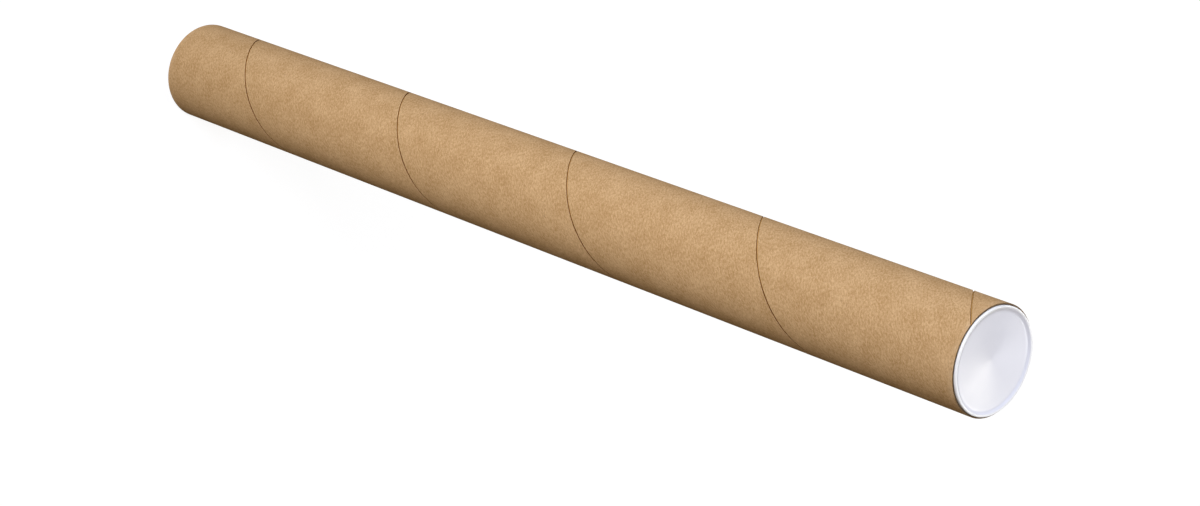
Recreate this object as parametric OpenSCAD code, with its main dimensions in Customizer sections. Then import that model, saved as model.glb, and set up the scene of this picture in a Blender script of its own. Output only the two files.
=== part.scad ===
// Spiral-wound kraft mailing tube, closed at each end by a push-in plastic cap.
// The tube stands on its bottom cap: Z runs along its axis, the origin is the middle of the base.

/* [Tube] */
// Inside diameter of the tube
bore_d = 38.1; // [25:0.1:110]
// Thickness of the wound paperboard wall
wall = 1.78; // [1.4:0.01:5]
// Length of the paperboard, end to end
tube_length = 457.2; // [120:0.1:1200]

/* [Spiral seam] */
// Rise of the outer ply's seam in one turn round the tube
seam_pitch = 102.7; // [60:0.1:300]
// Gap left between the two edges of the outer ply
seam_gap = 0.5; // [0.2:0.05:1]
// Thickness of the outer ply, which is the depth of the gap
ply = 0.4; // [0.2:0.05:0.8]
// Angle from +X at which the seam leaves the lower end of the tube
seam_start = 81; // [0:1:359]

/* [End caps] */
// Width of the tube's cut edge that stays bare round the rim
rim_setback = 0.7; // [0.3:0.05:1]
// Height of the rim above the end of the tube
rim_height = 1; // [0.8:0.05:2.5]
// Radius of the rim's outer edge
rim_round = 0.3; // [0.1:0.05:0.6]
// Width of the flat land on top of the rim
rim_land = 0.55; // [0.3:0.05:1]
// Width of the slope from the land in to the face
rim_slope = 0.9; // [0.3:0.05:1.5]
// Depth of the face's edge below the land
face_step = 0.7; // [0.3:0.05:2]
// Fall of the dished face from its edge to its centre
dish = 0.9; // [0.2:0.05:3]
// Thickness of the moulded face and skirt
skin = 0.9; // [0.7:0.05:1.5]
// Reach of the skirt into the tube
skirt_depth = 16; // [10:0.5:40]
// Narrowing of the skirt's radius over that reach
skirt_taper = 0.3; // [0.1:0.05:0.6]
// Width of the lead-in chamfer at the skirt's mouth
lead_in = 0.4; // [0.2:0.05:0.6]
// Length of that chamfer
lead_in_length = 1.6; // [0.5:0.1:3]
// Fillet inside the cap, between face and skirt
inner_fillet = 0.8; // [0.2:0.1:1.5]
// Radial clearance between skirt and bore
cap_clearance = 0.05; // [0.02:0.01:0.1]

/* [Hidden] */
$fn = 180;

bore_r = bore_d / 2;
tube_r = bore_r + wall;
overall_length = tube_length + 2 * rim_height;

// A cutter runs this far past the face that it cuts
past = 1;
// Steps of the seam's sweep in one turn
seam_steps = 48;
// Steps along a rounded edge of the cap
edge_steps = 6;

// The seam climbs at an angle, so its gap is wider when measured round the tube
seam_angle = atan(seam_pitch / (2 * PI * tube_r));
seam_round_width = seam_gap / sin(seam_angle);

// Radii of the cap, from the rim in to the face
rim_r = tube_r - rim_setback;
land_r = rim_r - rim_round - rim_land;
face_r = land_r - rim_slope;
skirt_r = bore_r - cap_clearance;
mouth_r = skirt_r - skirt_taper;

// Heights on the cap, above the end of the tube
face_z = rim_height - face_step;
centre_z = face_z - dish;
inner_r = skirt_r - skin;
inner_z = centre_z + dish * inner_r / face_r - skin;

function arc(centre, radius, from, to) = [
    for (i = [0 : edge_steps])
        let (a = from + (to - from) * i / edge_steps)
            centre + radius * [cos(a), sin(a)]
];

// The gap of the outer ply, a strip that twists up a right-hand helix
module seam_gap_strip() {
    strip_length = tube_length + 2 * past;
    translate([0, 0, -past])
        linear_extrude(
            height = strip_length,
            twist = -360 * strip_length / seam_pitch,
            slices = ceil(seam_steps * strip_length / seam_pitch),
            $fn = 4
        )
            rotate(seam_start - 360 * past / seam_pitch)
                translate([tube_r - ply, -seam_round_width / 2])
                    square([ply + past, seam_round_width]);
}

// One moulded cap with its rim seated on z = 0 and its skirt hanging below
module cap() {
    rotate_extrude()
        polygon(concat(
            [
                [0, centre_z],
                [face_r, face_z],
                [land_r, rim_height]
            ],
            arc([rim_r - rim_round, rim_height - rim_round], rim_round, 90, 0),
            [
                [rim_r, 0],
                [skirt_r, 0],
                [mouth_r, lead_in_length - skirt_depth],
                [mouth_r - lead_in, -skirt_depth],
                [mouth_r - skin, -skirt_depth]
            ],
            arc([inner_r - inner_fillet, inner_z - inner_fillet], inner_fillet, 0, 90),
            [[0, centre_z - skin]]
        ));
}

module tube() {
    color("#b48a5f")
        translate([0, 0, rim_height])
            difference() {
                cylinder(h = tube_length, r = tube_r);
                translate([0, 0, -past])
                    cylinder(h = tube_length + 2 * past, r = bore_r);
                seam_gap_strip();
            }
}

module bottom_cap() {
    color("#f0f0f4")
        translate([0, 0, rim_height])
            mirror([0, 0, 1])
                cap();
}

module top_cap() {
    color("#f0f0f4")
        translate([0, 0, overall_length - rim_height])
            cap();
}

tube();
bottom_cap();
top_cap();
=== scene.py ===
from math import atan, ceil, cos, hypot, radians, sin, tau

import bpy
import numpy as np
from mathutils import Matrix, Vector


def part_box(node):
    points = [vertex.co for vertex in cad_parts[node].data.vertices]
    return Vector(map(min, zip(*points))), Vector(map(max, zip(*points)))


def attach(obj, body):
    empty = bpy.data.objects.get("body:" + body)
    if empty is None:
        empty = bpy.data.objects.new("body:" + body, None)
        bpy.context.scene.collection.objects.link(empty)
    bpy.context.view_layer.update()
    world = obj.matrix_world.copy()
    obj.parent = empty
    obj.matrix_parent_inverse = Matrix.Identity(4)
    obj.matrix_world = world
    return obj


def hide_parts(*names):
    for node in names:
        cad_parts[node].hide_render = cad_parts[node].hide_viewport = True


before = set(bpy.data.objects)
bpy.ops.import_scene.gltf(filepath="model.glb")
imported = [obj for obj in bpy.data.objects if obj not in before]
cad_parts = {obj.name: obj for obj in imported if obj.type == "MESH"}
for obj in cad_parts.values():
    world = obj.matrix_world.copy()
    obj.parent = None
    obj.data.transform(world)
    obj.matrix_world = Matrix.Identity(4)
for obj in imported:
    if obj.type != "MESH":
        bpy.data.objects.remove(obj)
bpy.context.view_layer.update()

# The wound tube
# Kraft paper ribbons are wound round a mandrel, glued ply on ply, and set hard as one wall of board.
# The outer ribbon's edges stop just short of each other, so a fine gap climbs round the tube as its seam.
# A knife cuts both ends square, and the brown outer ply shows there round the chipboard, whose own
# grey-brown is painted darker as painted shade beside the cap's rim.
tube_low, tube_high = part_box("tube")
tube_radius = tube_high.x
tube_length = tube_high.z - tube_low.z
wall = 0.00178
bore_radius = tube_radius - wall

seam_pitch = 0.1027
seam_gap = 0.0005
seam_start = radians(81)
outer_ply = 0.0004
seam_climb = atan(seam_pitch / (tau * tube_radius))
half_gap = seam_gap / (2 * cos(seam_climb))

# One turn of the ribbon from gap to gap: height above the middle of the gap, and depth below the face.
# The cut edges of the ribbon are a little rounded, where the knife crushed the fibres.
edge_round = 0.00003
ribbon_rows = 10
ribbon_edge = [
    (0.0, outer_ply),
    (half_gap * 0.8, outer_ply),
    (half_gap, outer_ply * 0.45),
    (half_gap + edge_round * 0.4, outer_ply * 0.06),
    (half_gap + edge_round * 1.5, 0.0),
]
edge_reach = ribbon_edge[-1][0]
face_step = (seam_pitch - 2 * edge_reach) / ribbon_rows
ribbon_face = [(edge_reach + face_step * i, 0.0) for i in range(1, ribbon_rows)]
ribbon_end = [(seam_pitch - rise, depth) for rise, depth in reversed(ribbon_edge)]
whole_turn = ribbon_edge + ribbon_face + ribbon_end
turn_rises, turn_depths = zip(*whole_turn)
ribbon = whole_turn[:-1]
rows_per_turn = len(ribbon)

# Columns of the mesh stand at even angles; a row follows the seam, so it gains one turn each time round.
columns = 216
turns_below = 2
turns = ceil(tube_length / seam_pitch) + 2 * turns_below


def seam_height(turn_angle):
    """Height of the seam above the tube's lower end, at an angle counted on from turn to turn."""
    return seam_pitch * (turn_angle - seam_start) / tau


def ply_depth(column, height):
    """Depth of the outer face at a height on a column, which may be in the gap."""
    above_gap = (height - seam_height(tau * column / columns)) % seam_pitch
    return np.interp(above_gap, turn_rises, turn_depths)


points = []
point_at = {}


def add_point(angle, radius, height, key):
    """One corner of the tube's mesh, kept once under its key."""
    if key not in point_at:
        point_at[key] = len(points)
        points.append((radius * cos(angle), radius * sin(angle), tube_low.z + height))
    return point_at[key]


def outer_corner(column, row):
    """A corner of the outer face and its place along and across the flat ribbon."""
    turn, place = divmod(row, rows_per_turn)
    angle = tau * column / columns
    turn_angle = angle + tau * (turn - turns_below)
    rise, depth = ribbon[place]
    height = seam_height(turn_angle) + rise
    along = turn_angle * tube_radius / cos(seam_climb) + rise * sin(seam_climb)
    flat = (along, rise * cos(seam_climb))
    around = column % columns
    level = row + rows_per_turn * (column // columns)
    if height <= 0.0:
        level, height = "low", 0.0
        depth = ply_depth(around, height)
    elif height >= tube_length:
        level, height = "high", tube_length
        depth = ply_depth(around, height)
    return add_point(angle, tube_radius - depth, height, ("outer", around, level)), flat


faces = []
flats = []
finishes = []
outer_finish, gap_floor_painted_light_finish, gap_wall_painted_shade_finish, outer_end_finish, board_end_painted_shade_finish, bore_finish = range(6)
# The strips on the gap's floor carry painted light, and those on its walls and lower lip carry painted
# shade.
strip_finish = [outer_finish] * rows_per_turn
strip_finish[0] = strip_finish[-1] = gap_floor_painted_light_finish
strip_finish[1:3] = strip_finish[-3:-1] = [gap_wall_painted_shade_finish] * 2
lap_along = tau * tube_radius / cos(seam_climb) - seam_pitch * sin(seam_climb)
lap_across = seam_pitch * cos(seam_climb)
for column in range(columns):
    for row in range(turns * rows_per_turn):
        corners = [outer_corner(column, row), outer_corner(column + 1, row),
                   outer_corner(column + 1, row + 1), outer_corner(column, row + 1)]
        if (row + 1) % rows_per_turn == 0:
            # The last strip of a turn ends on the next turn's gap, but belongs to this turn's ribbon
            for i in (2, 3):
                index, (along, across) = corners[i]
                corners[i] = index, (along - lap_along, across + lap_across)
        # Past an end of the tube corners fall together, and each one is kept once
        flat_at = {}
        for index, flat in corners:
            flat_at.setdefault(index, flat)
        if len(flat_at) > 2:
            faces.append(list(flat_at))
            flats.extend(flat_at.values())
            finishes.append(strip_finish[row % rows_per_turn])

# Each cut end: rings of ply, with the glue lines a hair lower than the paper between them
plies = 4
rings_per_ply = 3
end_rings = rings_per_ply * plies
glue_line_depth = 0.00004
bore_rows = 24
no_flat = [(0.0, 0.0)] * 4


def end_corner(column, ring, end):
    """A corner of a cut end, from the outer face at ring 0 to the bore at the last ring."""
    around = column % columns
    if ring == 0:
        return point_at[("outer", around, end)]
    outer = tube_radius - ply_depth(around, 0.0 if end == "low" else tube_length)
    radius = outer + (bore_radius - outer) * ring / end_rings
    sunk = glue_line_depth if ring % rings_per_ply == 0 and ring < end_rings else 0.0
    height = sunk if end == "low" else tube_length - sunk
    return add_point(tau * column / columns, radius, height, (end, around, ring))


def bore_corner(column, row):
    """A corner of the bore, between the inner rings of the two cut ends."""
    if row in (0, bore_rows):
        return end_corner(column, end_rings, "low" if row == 0 else "high")
    height = tube_length * row / bore_rows
    return add_point(tau * column / columns, bore_radius, height, ("bore", column % columns, row))


for column in range(columns):
    for ring in range(end_rings):
        for end in ("low", "high"):
            quad = [end_corner(column, ring, end), end_corner(column, ring + 1, end),
                    end_corner(column + 1, ring + 1, end), end_corner(column + 1, ring, end)]
            faces.append(quad if end == "low" else quad[::-1])
            flats.extend(no_flat)
            finishes.append(outer_end_finish if ring < rings_per_ply else board_end_painted_shade_finish)
    for row in range(bore_rows):
        faces.append([bore_corner(column, row), bore_corner(column, row + 1),
                      bore_corner(column + 1, row + 1), bore_corner(column + 1, row)])
        flats.extend(no_flat)
        finishes.append(bore_finish)

crease = radians(35)
tube_mesh = bpy.data.meshes.new("wound_tube")
tube_mesh.from_pydata(points, [], faces)
tube_mesh.polygons.foreach_set("material_index", finishes)
tube_mesh.polygons.foreach_set("use_smooth", [True] * len(faces))
ribbon_map = tube_mesh.uv_layers.new(name="Ribbon")
ribbon_map.uv.foreach_set("vector", np.array(flats, np.float32).ravel())
tube_mesh.set_sharp_from_angle(angle=crease)
tube_mesh.validate()
tube = bpy.data.objects.new("wound_tube", tube_mesh)
bpy.context.collection.objects.link(tube)


def add_node(tree, kind, place, **settings):
    """A shader node at a place on the sheet, with properties by name and inputs by socket name."""
    made = tree.nodes.new(kind)
    made.location = place
    for name, value in settings.pop("inputs", {}).items():
        made.inputs[name].default_value = value
    for name, value in settings.items():
        setattr(made, name, value)
    return made


# Kraft fibre, used by every paper finish: soft clouds in the pulp, fibres that lie mostly one way,
# dark flecks and a fine nap
fibre_group = bpy.data.node_groups.new("Kraft fibre", "ShaderNodeTree")
sockets = fibre_group.interface
sockets.new_socket("Flat place", in_out="INPUT", socket_type="NodeSocketVector")
sockets.new_socket("Cloud", in_out="OUTPUT", socket_type="NodeSocketFloat")
sockets.new_socket("Fibre", in_out="OUTPUT", socket_type="NodeSocketFloat")
sockets.new_socket("Fleck", in_out="OUTPUT", socket_type="NodeSocketFloat")
sockets.new_socket("Nap", in_out="OUTPUT", socket_type="NodeSocketFloat")
group_in = add_node(fibre_group, "NodeGroupInput", (-800, 0))
group_out = add_node(fibre_group, "NodeGroupOutput", (600, 0))
cloud = add_node(fibre_group, "ShaderNodeTexNoise", (-300, 400),
                 inputs={"Scale": 110.0, "Detail": 2.0, "Roughness": 0.5})
lie = add_node(fibre_group, "ShaderNodeMapping", (-550, 100), inputs={"Scale": (0.5, 1.0, 1.0)})
fibre = add_node(fibre_group, "ShaderNodeTexNoise", (-300, 100),
                 inputs={"Scale": 1500.0, "Detail": 6.0, "Roughness": 0.8, "Distortion": 0.3})
fleck = add_node(fibre_group, "ShaderNodeTexVoronoi", (-300, -200),
                 inputs={"Scale": 520.0, "Randomness": 1.0})
fleck_size = add_node(fibre_group, "ShaderNodeMapRange", (-80, -200),
                      inputs={"From Min": 0.05, "From Max": 0.22, "To Min": 1.0, "To Max": 0.0})
fleck_pick = add_node(fibre_group, "ShaderNodeMapRange", (-80, -450),
                      inputs={"From Min": 0.62, "From Max": 0.95, "To Min": 0.0, "To Max": 1.0})
fleck_mask = add_node(fibre_group, "ShaderNodeMath", (200, -250), operation="MULTIPLY")
nap = add_node(fibre_group, "ShaderNodeTexNoise", (-300, -650),
               inputs={"Scale": 3200.0, "Detail": 2.0, "Roughness": 0.5})
for start, end in (
    (group_in.outputs["Flat place"], cloud.inputs["Vector"]),
    (group_in.outputs["Flat place"], lie.inputs["Vector"]),
    (lie.outputs["Vector"], fibre.inputs["Vector"]),
    (lie.outputs["Vector"], fleck.inputs["Vector"]),
    (lie.outputs["Vector"], nap.inputs["Vector"]),
    (fleck.outputs["Distance"], fleck_size.inputs["Value"]),
    (fleck.outputs["Color"], fleck_pick.inputs["Value"]),
    (fleck_size.outputs["Result"], fleck_mask.inputs[0]),
    (fleck_pick.outputs["Result"], fleck_mask.inputs[1]),
    (cloud.outputs["Fac"], group_out.inputs["Cloud"]),
    (fibre.outputs["Fac"], group_out.inputs["Fibre"]),
    (fleck_mask.outputs["Value"], group_out.inputs["Fleck"]),
    (nap.outputs["Fac"], group_out.inputs["Nap"]),
):
    fibre_group.links.new(start, end)


def along_ribbon(tree):
    """Place on the flat outer ribbon, so that the fibres follow its winding."""
    return add_node(tree, "ShaderNodeUVMap", (-1150, 0), uv_map="Ribbon").outputs["UV"]


def on_object(tree):
    """Place on the piece itself."""
    return add_node(tree, "ShaderNodeTexCoord", (-1150, 0)).outputs["Object"]


# Handling rubs the outer face pale in patches, within a few millimetres of the cut ends
rub_reach = 0.003
rub_share = 0.45
rubbed_kraft = (0.66, 0.47, 0.29)


def end_rub(tree):
    """How far the paper is rubbed pale: patches close to the cut ends."""
    place = add_node(tree, "ShaderNodeTexCoord", (-1150, 700))
    split = add_node(tree, "ShaderNodeSeparateXYZ", (-950, 700))
    low_end = add_node(tree, "ShaderNodeMapRange", (-750, 800), inputs={
        "From Min": tube_low.z, "From Max": tube_low.z + rub_reach, "To Min": 1.0, "To Max": 0.0})
    high_end = add_node(tree, "ShaderNodeMapRange", (-750, 550), inputs={
        "From Min": tube_high.z - rub_reach, "From Max": tube_high.z, "To Min": 0.0, "To Max": 1.0})
    either = add_node(tree, "ShaderNodeMath", (-550, 700), operation="MAXIMUM")
    patches = add_node(tree, "ShaderNodeTexNoise", (-750, 1050), inputs={"Scale": 240.0, "Detail": 4.0})
    worn = add_node(tree, "ShaderNodeMapRange", (-550, 1050), inputs={
        "From Min": 0.42, "From Max": 0.62, "To Min": 0.0, "To Max": rub_share})
    rub = add_node(tree, "ShaderNodeMath", (-350, 800), operation="MULTIPLY")
    for start, end in (
        (place.outputs["Object"], split.inputs["Vector"]),
        (split.outputs["Z"], low_end.inputs["Value"]),
        (split.outputs["Z"], high_end.inputs["Value"]),
        (low_end.outputs["Result"], either.inputs[0]),
        (high_end.outputs["Result"], either.inputs[1]),
        (place.outputs["Object"], patches.inputs["Vector"]),
        (patches.outputs["Fac"], worn.inputs["Value"]),
        (either.outputs["Value"], rub.inputs[0]),
        (worn.outputs["Result"], rub.inputs[1]),
    ):
        tree.links.new(start, end)
    return rub.outputs["Value"]


# A paper's tone is mostly fibre with a little cloud, and its browns run between two narrow tones.
# Bare paper is dull, so it has no mirror layer; its nap is less than a tenth of a millimetre high.
cloud_share = 0.16
fibre_share = 0.84
dark_tone = 0.395
light_tone = 0.605
fleck_strength = 0.5
roughness_spread = 0.08
nap_height = 0.00008


def paper_finish(name, dark, light, fleck_colour, flat_place, roughness, bump, rub=None):
    """A kraft paper material: two browns mixed by cloud and fibre, with flecks and a nap."""
    paper = bpy.data.materials.new(name)
    paper.use_nodes = True
    tree = paper.node_tree
    shader = tree.nodes["Principled BSDF"]
    shader.inputs["Specular IOR Level"].default_value = 0.0
    place = flat_place(tree)
    pulp = add_node(tree, "ShaderNodeGroup", (-900, 0), node_tree=fibre_group)
    tone = add_node(tree, "ShaderNodeMath", (-650, 250), operation="MULTIPLY_ADD",
                    inputs={1: cloud_share})
    share = add_node(tree, "ShaderNodeMath", (-650, 50), operation="MULTIPLY",
                     inputs={1: fibre_share})
    browns = add_node(tree, "ShaderNodeValToRGB", (-450, 250))
    browns.color_ramp.elements[0].position = dark_tone
    browns.color_ramp.elements[1].position = light_tone
    browns.color_ramp.elements[0].color = (*dark, 1.0)
    browns.color_ramp.elements[1].color = (*light, 1.0)
    flecked = add_node(tree, "ShaderNodeMix", (-150, 250), data_type="RGBA")
    flecked.inputs["B"].default_value = (*fleck_colour, 1.0)
    fleck_share = add_node(tree, "ShaderNodeMath", (-350, -50), operation="MULTIPLY",
                           inputs={1: fleck_strength})
    relief = add_node(tree, "ShaderNodeMath", (-450, -250), operation="ADD")
    felt = add_node(tree, "ShaderNodeBump", (-200, -250),
                    inputs={"Strength": bump, "Distance": nap_height})
    dullness = add_node(tree, "ShaderNodeMapRange", (-450, 0), inputs={
        "From Min": 0.3, "From Max": 0.7,
        "To Min": roughness - roughness_spread, "To Max": roughness + roughness_spread})
    for start, end in (
        (place, pulp.inputs["Flat place"]),
        (pulp.outputs["Cloud"], tone.inputs[0]),
        (pulp.outputs["Fibre"], share.inputs[0]),
        (share.outputs["Value"], tone.inputs[2]),
        (tone.outputs["Value"], browns.inputs["Fac"]),
        (browns.outputs["Color"], flecked.inputs["A"]),
        (pulp.outputs["Fleck"], fleck_share.inputs[0]),
        (fleck_share.outputs["Value"], flecked.inputs["Factor"]),
        (flecked.outputs["Result"], shader.inputs["Base Color"]),
        (pulp.outputs["Fibre"], dullness.inputs["Value"]),
        (dullness.outputs["Result"], shader.inputs["Roughness"]),
        (pulp.outputs["Fibre"], relief.inputs[0]),
        (pulp.outputs["Nap"], relief.inputs[1]),
        (relief.outputs["Value"], felt.inputs["Height"]),
        (felt.outputs["Normal"], shader.inputs["Normal"]),
    ):
        tree.links.new(start, end)
    if rub:
        rubbed = add_node(tree, "ShaderNodeMix", (50, 250), data_type="RGBA")
        rubbed.inputs["B"].default_value = (*rubbed_kraft, 1.0)
        tree.links.new(rub(tree), rubbed.inputs["Factor"])
        tree.links.new(flecked.outputs["Result"], rubbed.inputs["A"])
        tree.links.new(rubbed.outputs["Result"], shader.inputs["Base Color"])
    return paper


# The finishes are added in the order in which the faces above number them
tube_mesh.materials.append(paper_finish(
    "kraft face", dark=(0.39, 0.225, 0.09), light=(0.63, 0.41, 0.215),
    fleck_colour=(0.2, 0.11, 0.05), flat_place=along_ribbon, roughness=0.5, bump=0.15, rub=end_rub))
# The ply under the seam's gap is kraft brown, but it is painted lighter and more orange than the face, as
# painted light against the gap's shade.
tube_mesh.materials.append(paper_finish(
    "ply under the gap with painted light", dark=(0.54, 0.28, 0.08), light=(0.64, 0.35, 0.11),
    fleck_colour=(0.3, 0.15, 0.045), flat_place=along_ribbon, roughness=0.8, bump=0.3))
# The cut walls of the ribbon in the gap are painted near black, as painted shade in the gap.
tube_mesh.materials.append(paper_finish(
    "gap wall painted shade", dark=(0.09, 0.022, 0.002), light=(0.14, 0.04, 0.005),
    fleck_colour=(0.05, 0.012, 0.001), flat_place=along_ribbon, roughness=0.85, bump=0.3))
tube_mesh.materials.append(paper_finish(
    "cut outer ply", dark=(0.15, 0.09, 0.04), light=(0.26, 0.165, 0.085),
    fleck_colour=(0.08, 0.05, 0.02), flat_place=on_object, roughness=0.8, bump=0.4))
# The chipboard's cut end is its own grey-brown, painted darker still as painted shade in the thin ring
# beside the cap's rim.
tube_mesh.materials.append(paper_finish(
    "cut board edge with painted shade", dark=(0.07, 0.052, 0.035), light=(0.15, 0.115, 0.08),
    fleck_colour=(0.04, 0.03, 0.02), flat_place=on_object, roughness=0.85, bump=0.6))
tube_mesh.materials.append(paper_finish(
    "kraft bore", dark=(0.33, 0.23, 0.13), light=(0.45, 0.33, 0.2),
    fleck_colour=(0.15, 0.1, 0.06), flat_place=on_object, roughness=0.7, bump=0.35))
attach(tube, "tube")
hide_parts("tube")

# The end caps
# Each end is closed by a push-in cap, moulded in one piece from white polyethylene.
# Its rim seats on the cut end of the tube, its shallow dished face lies inside the rim, and a thin
# tapered skirt grips the bore. Both caps come from the same mould.
rim_radius = (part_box("top_cap")[1].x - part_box("top_cap")[0].x) / 2
rim_height = tube_low.z
land_width = 0.00055
slope_width = 0.0009
face_drop = 0.0007
dish = 0.0009
skin = 0.0009
skirt_depth = 0.016
skirt_taper = 0.0003
lead_in = 0.0004
lead_in_length = 0.0016
cap_clearance = 0.00005
face_round = 0.0006
land_round = 0.0004
rim_round = 0.0003
seat_round = 0.0001
lead_in_round = 0.0003
mouth_round = 0.00015
inner_fillet = 0.0008

land_radius = rim_radius - rim_round - land_width
face_radius = land_radius - slope_width
skirt_radius = bore_radius - cap_clearance
mouth_radius = skirt_radius - skirt_taper
inner_radius = skirt_radius - skin
face_height = rim_height - face_drop
inner_height = face_height - dish + dish * inner_radius / face_radius - skin


def rounded(outline, steps=5):
    """A path of (radius, height) points: each inner corner of an outline becomes a curve of its round."""
    curve = [outline[0][:2]]
    for before, corner, after in zip(outline, outline[1:], outline[2:]):
        here, size = Vector(corner[:2]), corner[2]
        start = here + (Vector(before[:2]) - here).normalized() * size
        finish = here + (Vector(after[:2]) - here).normalized() * size
        for i in range(steps + 1):
            far = i / steps
            near = 1 - far
            curve.append(tuple(start * near ** 2 + here * (2 * far * near) + finish * far ** 2))
    curve.append(outline[-1][:2])
    return curve


# The section of a cap as radius, height and round of each corner, from the middle of its face
# round the rim and skirt to the middle of its inside
section = rounded([
    (0.0, face_height - dish, 0.0),
    (face_radius, face_height, face_round),
    (land_radius, rim_height, land_round),
    (rim_radius, rim_height, rim_round),
    (rim_radius, 0.0, seat_round),
    (skirt_radius, 0.0, seat_round),
    (mouth_radius, lead_in_length - skirt_depth, lead_in_round),
    (mouth_radius - lead_in, -skirt_depth, mouth_round),
    (mouth_radius - skin, -skirt_depth, mouth_round),
    (inner_radius, inner_height, inner_fillet),
    (0.0, face_height - dish - skin, 0.0),
])

# The face is a shallow cone with a soft point, where the gate of the mould left a faint dimple
face_rings = 24
point_round = 0.0025
gate_radius = 0.0012
gate_depth = 0.00002
face_centre_height = section[0][1]
face_edge_radius, face_edge_height = section[1]
face_rise = face_edge_height - face_centre_height
face_reach = hypot(face_edge_radius, point_round) - point_round
face_points = []
for i in range(face_rings):
    radius = face_edge_radius * i / face_rings
    height = face_centre_height + face_rise * (hypot(radius, point_round) - point_round) / face_reach
    face_points.append((radius, height - gate_depth * max(0.0, 1.0 - radius / gate_radius)))
section = face_points + section[1:]
cap_columns = 160


def cap_mesh(name, seat, outward):
    """A cap turned from its section, its rim seated at a height and its face turned up or down."""
    corners = []
    for radius, height in section[1:-1]:
        for column in range(cap_columns):
            angle = tau * column / cap_columns
            corners.append((radius * cos(angle), radius * sin(angle), seat + outward * height))
    rings = len(section) - 2
    skins = []
    for ring in range(rings - 1):
        for column in range(cap_columns):
            beside = (column + 1) % cap_columns
            skins.append([ring * cap_columns + column, ring * cap_columns + beside,
                          (ring + 1) * cap_columns + beside, (ring + 1) * cap_columns + column])
    face_centre, inside_centre = len(corners), len(corners) + 1
    corners.append((0.0, 0.0, seat + outward * section[0][1]))
    corners.append((0.0, 0.0, seat + outward * section[-1][1]))
    last = (rings - 1) * cap_columns
    for column in range(cap_columns):
        beside = (column + 1) % cap_columns
        skins.append([face_centre, beside, column])
        skins.append([inside_centre, last + column, last + beside])
    if outward > 0:
        skins = [face[::-1] for face in skins]
    mesh = bpy.data.meshes.new(name)
    mesh.from_pydata(corners, [], skins)
    mesh.polygons.foreach_set("use_smooth", [True] * len(skins))
    mesh.validate()
    return mesh


# White moulded polyethylene: even and slightly cool, with the faint waves of a thin moulding
# and a little haze from handling. Towards the rim the white is painted lighter, as painted light on the
# rim.
plastic = bpy.data.materials.new("white polyethylene")
plastic.use_nodes = True
plastic_tree = plastic.node_tree
plastic_shader = plastic_tree.nodes["Principled BSDF"]
plastic_shader.inputs["Specular IOR Level"].default_value = 0.5
plastic_place = add_node(plastic_tree, "ShaderNodeTexCoord", (-1100, 0))
waves = add_node(plastic_tree, "ShaderNodeTexNoise", (-850, 250), inputs={"Scale": 70.0, "Detail": 1.5})
haze = add_node(plastic_tree, "ShaderNodeTexNoise", (-850, 0),
                inputs={"Scale": 420.0, "Detail": 4.0, "Roughness": 0.6})
whites = add_node(plastic_tree, "ShaderNodeMix", (-450, 250), data_type="RGBA")
whites.inputs["A"].default_value = (0.80, 0.787, 0.825, 1.0)
whites.inputs["B"].default_value = (0.83, 0.817, 0.855, 1.0)
flattened = add_node(plastic_tree, "ShaderNodeVectorMath", (-850, 550), operation="MULTIPLY",
                     inputs={1: (1.0, 1.0, 0.0)})
from_axis = add_node(plastic_tree, "ShaderNodeVectorMath", (-650, 550), operation="LENGTH")
# Painted light: the white grows lighter from the skirt out to the rim's land.
rim_light_share = add_node(plastic_tree, "ShaderNodeMapRange", (-450, 550), inputs={
    "From Min": skirt_radius, "From Max": land_radius, "To Min": 0.0, "To Max": 1.0})
rim_painted_light = add_node(plastic_tree, "ShaderNodeMix", (-200, 250), data_type="RGBA")
rim_painted_light.inputs["B"].default_value = (0.94, 0.925, 0.91, 1.0)
shine = add_node(plastic_tree, "ShaderNodeMapRange", (-450, 0),
                 inputs={"From Min": 0.35, "From Max": 0.65, "To Min": 0.2, "To Max": 0.26})
mould_skin = add_node(plastic_tree, "ShaderNodeBump", (-250, -250),
                      inputs={"Strength": 0.1, "Distance": 0.0002})
for start, end in (
    (plastic_place.outputs["Object"], waves.inputs["Vector"]),
    (plastic_place.outputs["Object"], haze.inputs["Vector"]),
    (waves.outputs["Fac"], whites.inputs["Factor"]),
    (plastic_place.outputs["Object"], flattened.inputs[0]),
    (flattened.outputs["Vector"], from_axis.inputs[0]),
    (from_axis.outputs["Value"], rim_light_share.inputs["Value"]),
    (rim_light_share.outputs["Result"], rim_painted_light.inputs["Factor"]),
    (whites.outputs["Result"], rim_painted_light.inputs["A"]),
    (rim_painted_light.outputs["Result"], plastic_shader.inputs["Base Color"]),
    (haze.outputs["Fac"], shine.inputs["Value"]),
    (shine.outputs["Result"], plastic_shader.inputs["Roughness"]),
    (waves.outputs["Fac"], mould_skin.inputs["Height"]),
    (mould_skin.outputs["Normal"], plastic_shader.inputs["Normal"]),
):
    plastic_tree.links.new(start, end)

for node, seat, outward in (("bottom_cap", tube_low.z, -1), ("top_cap", tube_high.z, 1)):
    cap = bpy.data.objects.new("moulded_" + node, cap_mesh("moulded_" + node, seat, outward))
    bpy.context.collection.objects.link(cap)
    cap.data.materials.append(plastic)
    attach(cap, node)
    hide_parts(node)

# The studio
# A wide white floor that runs out of the picture, under soft panels: two by the camera, one on each side of
# the tube, two behind that the top cap mirrors, and one that fills the tube's far side.
floor_half = 3.0
floor_mesh = bpy.data.meshes.new("floor")
floor_mesh.from_pydata(
    [
        (-floor_half, -floor_half, 0),
        (floor_half, -floor_half, 0),
        (floor_half, floor_half, 0),
        (-floor_half, floor_half, 0),
    ],
    [],
    [(0, 1, 2, 3)],
)
floor = bpy.data.objects.new("floor", floor_mesh)
bpy.context.collection.objects.link(floor)


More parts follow.
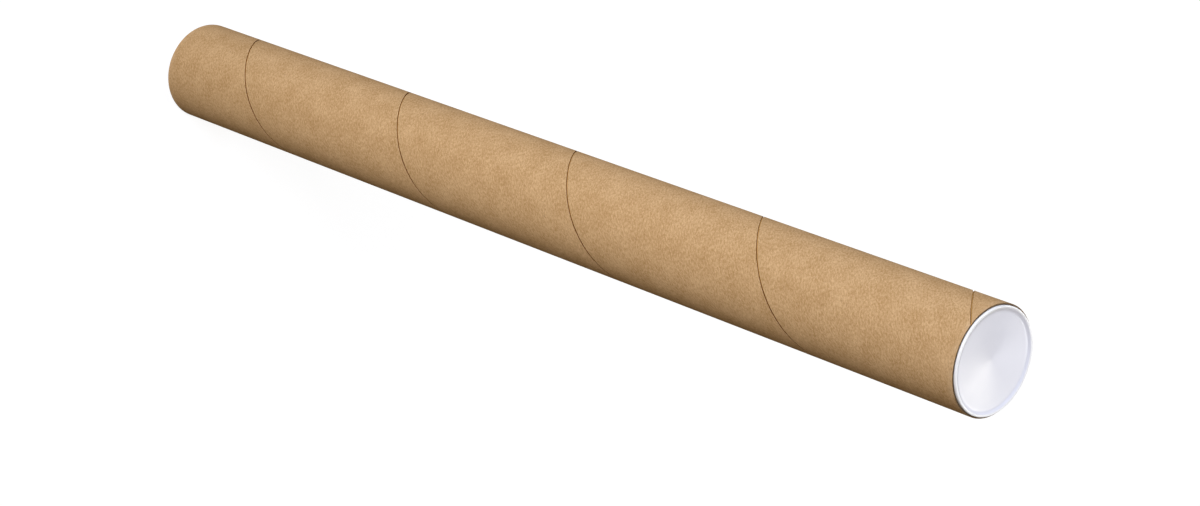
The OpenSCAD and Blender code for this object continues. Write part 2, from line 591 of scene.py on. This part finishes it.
def seen_directly(tree):
    """1 where a ray from the camera, or one mirrored or passed by a surface, meets the stage."""
    path = add_node(tree, "ShaderNodeLightPath", (-900, 0))
    either = add_node(tree, "ShaderNodeMath", (-700, 0), operation="MAXIMUM")
    any_of = add_node(tree, "ShaderNodeMath", (-500, 0), operation="MAXIMUM")
    tree.links.new(path.outputs["Is Camera Ray"], either.inputs[0])
    tree.links.new(path.outputs["Is Glossy Ray"], either.inputs[1])
    tree.links.new(either.outputs["Value"], any_of.inputs[0])
    tree.links.new(path.outputs["Is Transmission Ray"], any_of.inputs[1])
    return any_of.outputs["Value"]


# The floor and the room look white, but throw little light of their own on the part
floor_white = 0.88
floor_paint = bpy.data.materials.new("white floor")
floor_paint.use_nodes = True
floor_tree = floor_paint.node_tree
floor_shader = floor_tree.nodes["Principled BSDF"]
floor_shader.inputs["Base Color"].default_value = (0.2, 0.2, 0.2, 1.0)
floor_shader.inputs["Roughness"].default_value = 0.9
floor_shader.inputs["Specular IOR Level"].default_value = 0.0
floor_shader.inputs["Emission Color"].default_value = (1.0, 1.0, 1.0, 1.0)
floor_glow = add_node(floor_tree, "ShaderNodeMath", (-300, -200), operation="MULTIPLY",
                      inputs={1: floor_white})
floor_tree.links.new(seen_directly(floor_tree), floor_glow.inputs[0])
floor_tree.links.new(floor_glow.outputs["Value"], floor_shader.inputs["Emission Strength"])
floor_mesh.materials.append(floor_paint)

room_fill = 0.07
room = bpy.data.worlds.new("studio")
room.use_nodes = True
bpy.context.scene.world = room
room_tree = room.node_tree
room_light = room_tree.nodes["Background"]
room_seen = seen_directly(room_tree)
room_strength = add_node(room_tree, "ShaderNodeMapRange", (-250, 0),
                         inputs={"To Min": room_fill, "To Max": 1.0})
room_colour = add_node(room_tree, "ShaderNodeMix", (-250, 250), data_type="RGBA")
room_colour.inputs["A"].default_value = (1.0, 0.76, 0.48, 1.0)
room_colour.inputs["B"].default_value = (1.0, 1.0, 1.0, 1.0)
room_tree.links.new(room_seen, room_strength.inputs["Value"])
room_tree.links.new(room_seen, room_colour.inputs["Factor"])
room_tree.links.new(room_strength.outputs["Result"], room_light.inputs["Strength"])
room_tree.links.new(room_colour.outputs["Result"], room_light.inputs["Color"])


def add_panel(name, bearing, climb, distance, size, power, colour, aim):
    """A soft square panel at a bearing from +X and a climb above the floor, turned to face a point."""
    lamp = bpy.data.lights.new(name, "AREA")
    lamp.size = size
    lamp.energy = power
    lamp.color = colour
    panel = bpy.data.objects.new(name, lamp)
    way = Vector((cos(radians(bearing)) * cos(radians(climb)),
                  sin(radians(bearing)) * cos(radians(climb)), sin(radians(climb))))
    panel.location = aim + way * distance
    panel.rotation_euler = way.to_track_quat("Z", "Y").to_euler()
    bpy.context.collection.objects.link(panel)
    return panel


middle = Vector((0.0, 0.0, tube_low.z + tube_length / 2))
above_middle = middle + Vector((0.0, 0.0, 0.13))
cap_middle = Vector((0.0, 0.0, tube_high.z))
cool = (0.93, 1.0, 1.17)
cooler = (0.92, 1.0, 1.2)
neutral = (1.0, 1.0, 1.0)
warm = (1.02, 1.0, 0.96)
warmer = (1.04, 1.0, 0.86)
warmest = (1.15, 0.95, 0.7)
add_panel("front panel", bearing=-107, climb=40, distance=2.6, size=1.2, power=46, colour=cool, aim=middle)
add_panel("low panel", bearing=-104, climb=-16, distance=0.8, size=0.3, power=2.7, colour=warm,
          aim=above_middle)
add_panel("side panel", bearing=-174, climb=24, distance=2.2, size=0.7, power=13, colour=cooler, aim=middle)
add_panel("right panel", bearing=-30, climb=10, distance=2.2, size=0.7, power=4.2, colour=warmest,
          aim=middle)
add_panel("back panel", bearing=100, climb=33, distance=1.8, size=0.45, power=4.7, colour=warmer,
          aim=cap_middle)
add_panel("high panel", bearing=80, climb=48, distance=1.8, size=0.4, power=4.3, colour=neutral,
          aim=cap_middle)
rear_panel = add_panel("rear panel", bearing=88, climb=3, distance=2.4, size=0.6, power=24, colour=neutral,
                       aim=middle)
rear_panel.visible_glossy = False

# The camera
# It stands in front of the tube and above it, rolled so that the tube lies across the picture
# from its foot at the upper left to its top cap at the lower right.
picture_width = 1200
focal_pixels = 3210.333
eye = Vector((0.0, -0.897451, tube_low.z + 1.119143))
look_at = Vector((0.013431, 0.0, tube_low.z + 0.264165))
roll = 1.935
lens = bpy.data.cameras.new("camera")
lens.sensor_width = 36.0
lens.lens = focal_pixels / picture_width * lens.sensor_width
camera = bpy.data.objects.new("camera", lens)
aim = (look_at - eye).to_track_quat("-Z", "Y").to_matrix().to_4x4()
camera.matrix_world = Matrix.Translation(eye) @ aim @ Matrix.Rotation(roll, 4, "Z")
bpy.context.collection.objects.link(camera)
bpy.context.scene.camera = camera
bpy.context.scene.view_settings.view_transform = "Standard"
